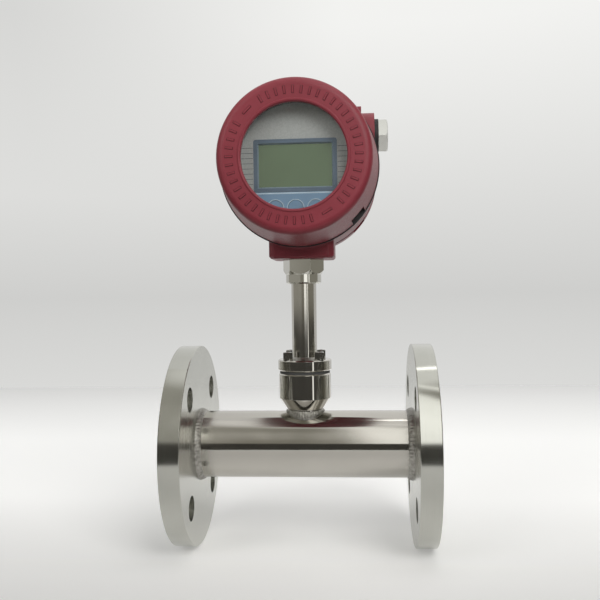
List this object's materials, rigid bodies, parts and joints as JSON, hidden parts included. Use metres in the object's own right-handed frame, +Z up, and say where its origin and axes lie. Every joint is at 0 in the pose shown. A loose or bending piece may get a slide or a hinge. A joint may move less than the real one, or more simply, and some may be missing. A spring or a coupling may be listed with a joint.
{
  "type": "thermal mass flow meter",
  "caption": "Flanged in-line thermal mass flow meter for gas: insertion probe bolted to a polished flow tube, with a round swivelling display head on a slim neck.",
  "frame": {"origin": "centre of the inlet flange's sealing face, on the flow tube's axis", "axes": "+X along the flow from inlet to outlet, +Z up the neck, the display faces -Y"},
  "size_m": [0.196, 0.153, 0.3373],
  "materials": {
    "satin_steel": "turned, satin",
    "polished_steel": "mirror polished",
    "turned_steel": "turned, bright",
    "weld_steel": "brushed weld bead",
    "fastener_steel": "bright",
    "probe_steel": "electropolished",
    "plug_metal": "bright",
    "housing_red": "textured red powder coat on die-cast aluminium",
    "bare_aluminium": "turned",
    "seal_rubber": "matt",
    "gasket_fibre": "matt",
    "window_clear": "clear toughened",
    "display_face": "silver printed plate",
    "frame_blue": "moulded",
    "lcd_green": "reflective display",
    "key_blue": "moulded",
    "board_green": "solder mask",
    "black_plastic": "moulded",
    "potting": "cast resin",
    "terminal_green": "moulded",
    "plated_pillar": "nickel plated",
    "capacitor_can": "sleeved can",
    "lead_sheath": "silicone",
    "ceramic": "fired"
  },
  "bodies": {
    "pipe_section": {"inlet_flange": "satin_steel", "outlet_flange": "satin_steel", "inlet_welds": "weld_steel", "outlet_welds": "weld_steel", "flow_tube": "polished_steel", "sensor_socket": "turned_steel", "socket_weld": "weld_steel", "sensor_gasket": "gasket_fibre", "sensor_plate": "turned_steel", "plate_bolts": "fastener_steel", "plate_washers": "fastener_steel", "probe_stem": "probe_steel", "probe_guard": "probe_steel", "heated_sensor": "probe_steel", "reference_sensor": "probe_steel", "sensor_elements": "ceramic", "neck_tube": "turned_steel", "neck_weld": "weld_steel", "hex_coupling": "turned_steel", "swivel_oring": "seal_rubber", "sensor_leads": "lead_sheath", "lead_connector": "black_plastic"},
    "head": {"display_screws": "fastener_steel", "terminal_screws": "fastener_steel", "terminal_board_screws": "fastener_steel", "earth_screw": "fastener_steel", "lock_screw": "fastener_steel", "housing_body": "housing_red", "display_plate": "display_face", "lcd_frame": "frame_blue", "lcd_panel": "lcd_green", "display_board": "board_green", "main_board": "board_green", "terminal_board": "board_green", "key_switches": "black_plastic", "board_link": "black_plastic", "processor": "black_plastic", "transformer": "black_plastic", "feedthrough": "potting", "terminal_block": "terminal_green", "display_spacers": "plated_pillar", "board_standoffs": "plated_pillar", "capacitors": "capacitor_can"},
    "front_seal": {"front_cover_seal": "seal_rubber"},
    "front_cover": {"front_cover": "housing_red", "window_gasket": "seal_rubber", "window_glass": "window_clear", "window_retainer": "bare_aluminium"},
    "rear_seal": {"rear_cover_seal": "seal_rubber"},
    "rear_cover": {"rear_cover": "housing_red"},
    "right_seal": {"right_plug_seal": "seal_rubber"},
    "right_plug": {"right_plug": "plug_metal"},
    "left_seal": {"left_plug_seal": "seal_rubber"},
    "left_plug": {"left_plug": "plug_metal"},
    "key_left": {"key_left": "key_blue"},
    "key_centre": {"key_centre": "key_blue"},
    "key_right": {"key_right": "key_blue"}
  },
  "joints": [
    {"name": "head_swivel", "type": "hinge", "parent": "pipe_section", "child": "head", "pos_m": [0.098, 0, 0.1399], "axis": [0, 0, 1], "range_deg": [-175, 175]},
    {"name": "front_cover_travel", "type": "slide", "parent": "head", "child": "front_seal", "axis": [0, -1, 0], "range_m": [0, 0.012]},
    {"name": "front_cover_turn", "type": "hinge", "parent": "front_seal", "child": "front_cover", "pos_m": [0.098, -0.0293, 0.2048], "axis": [0, -1, 0], "range_deg": [0, 2160]},
    {"name": "rear_cover_travel", "type": "slide", "parent": "head", "child": "rear_seal", "axis": [0, 1, 0], "range_m": [0, 0.012]},
    {"name": "rear_cover_turn", "type": "hinge", "parent": "rear_seal", "child": "rear_cover", "pos_m": [0.098, 0.0278, 0.2048], "axis": [0, 1, 0], "range_deg": [0, 2160]},
    {"name": "right_plug_travel", "type": "slide", "parent": "head", "child": "right_seal", "axis": [1, 0, 0], "range_m": [0, 0.012]},
    {"name": "right_plug_turn", "type": "hinge", "parent": "right_seal", "child": "right_plug", "pos_m": [0.1542, 0, 0.2317], "axis": [1, 0, 0], "range_deg": [0, 2880]},
    {"name": "left_plug_travel", "type": "slide", "parent": "head", "child": "left_seal", "axis": [-1, 0, 0], "range_m": [0, 0.012]},
    {"name": "left_plug_turn", "type": "hinge", "parent": "left_seal", "child": "left_plug", "pos_m": [0.0418, 0, 0.2317], "axis": [-1, 0, 0], "range_deg": [0, 2880]},
    {"name": "key_left_press", "type": "slide", "parent": "head", "child": "key_left", "axis": [0, 1, 0], "range_m": [0, 0.0005], "stiffness_N_per_m": 1500},
    {"name": "key_centre_press", "type": "slide", "parent": "head", "child": "key_centre", "axis": [0, 1, 0], "range_m": [0, 0.0005], "stiffness_N_per_m": 1500},
    {"name": "key_right_press", "type": "slide", "parent": "head", "child": "key_right", "axis": [0, 1, 0], "range_m": [0, 0.0005], "stiffness_N_per_m": 1500}
  ],
  "couplings": [
    {"joint": "front_cover_travel", "follows": "front_cover_turn", "m_per_rad": 0.0003183},
    {"joint": "rear_cover_travel", "follows": "rear_cover_turn", "m_per_rad": 0.0003183},
    {"joint": "right_plug_travel", "follows": "right_plug_turn", "m_per_rad": 0.0002387},
    {"joint": "left_plug_travel", "follows": "left_plug_turn", "m_per_rad": 0.0002387}
  ]
}
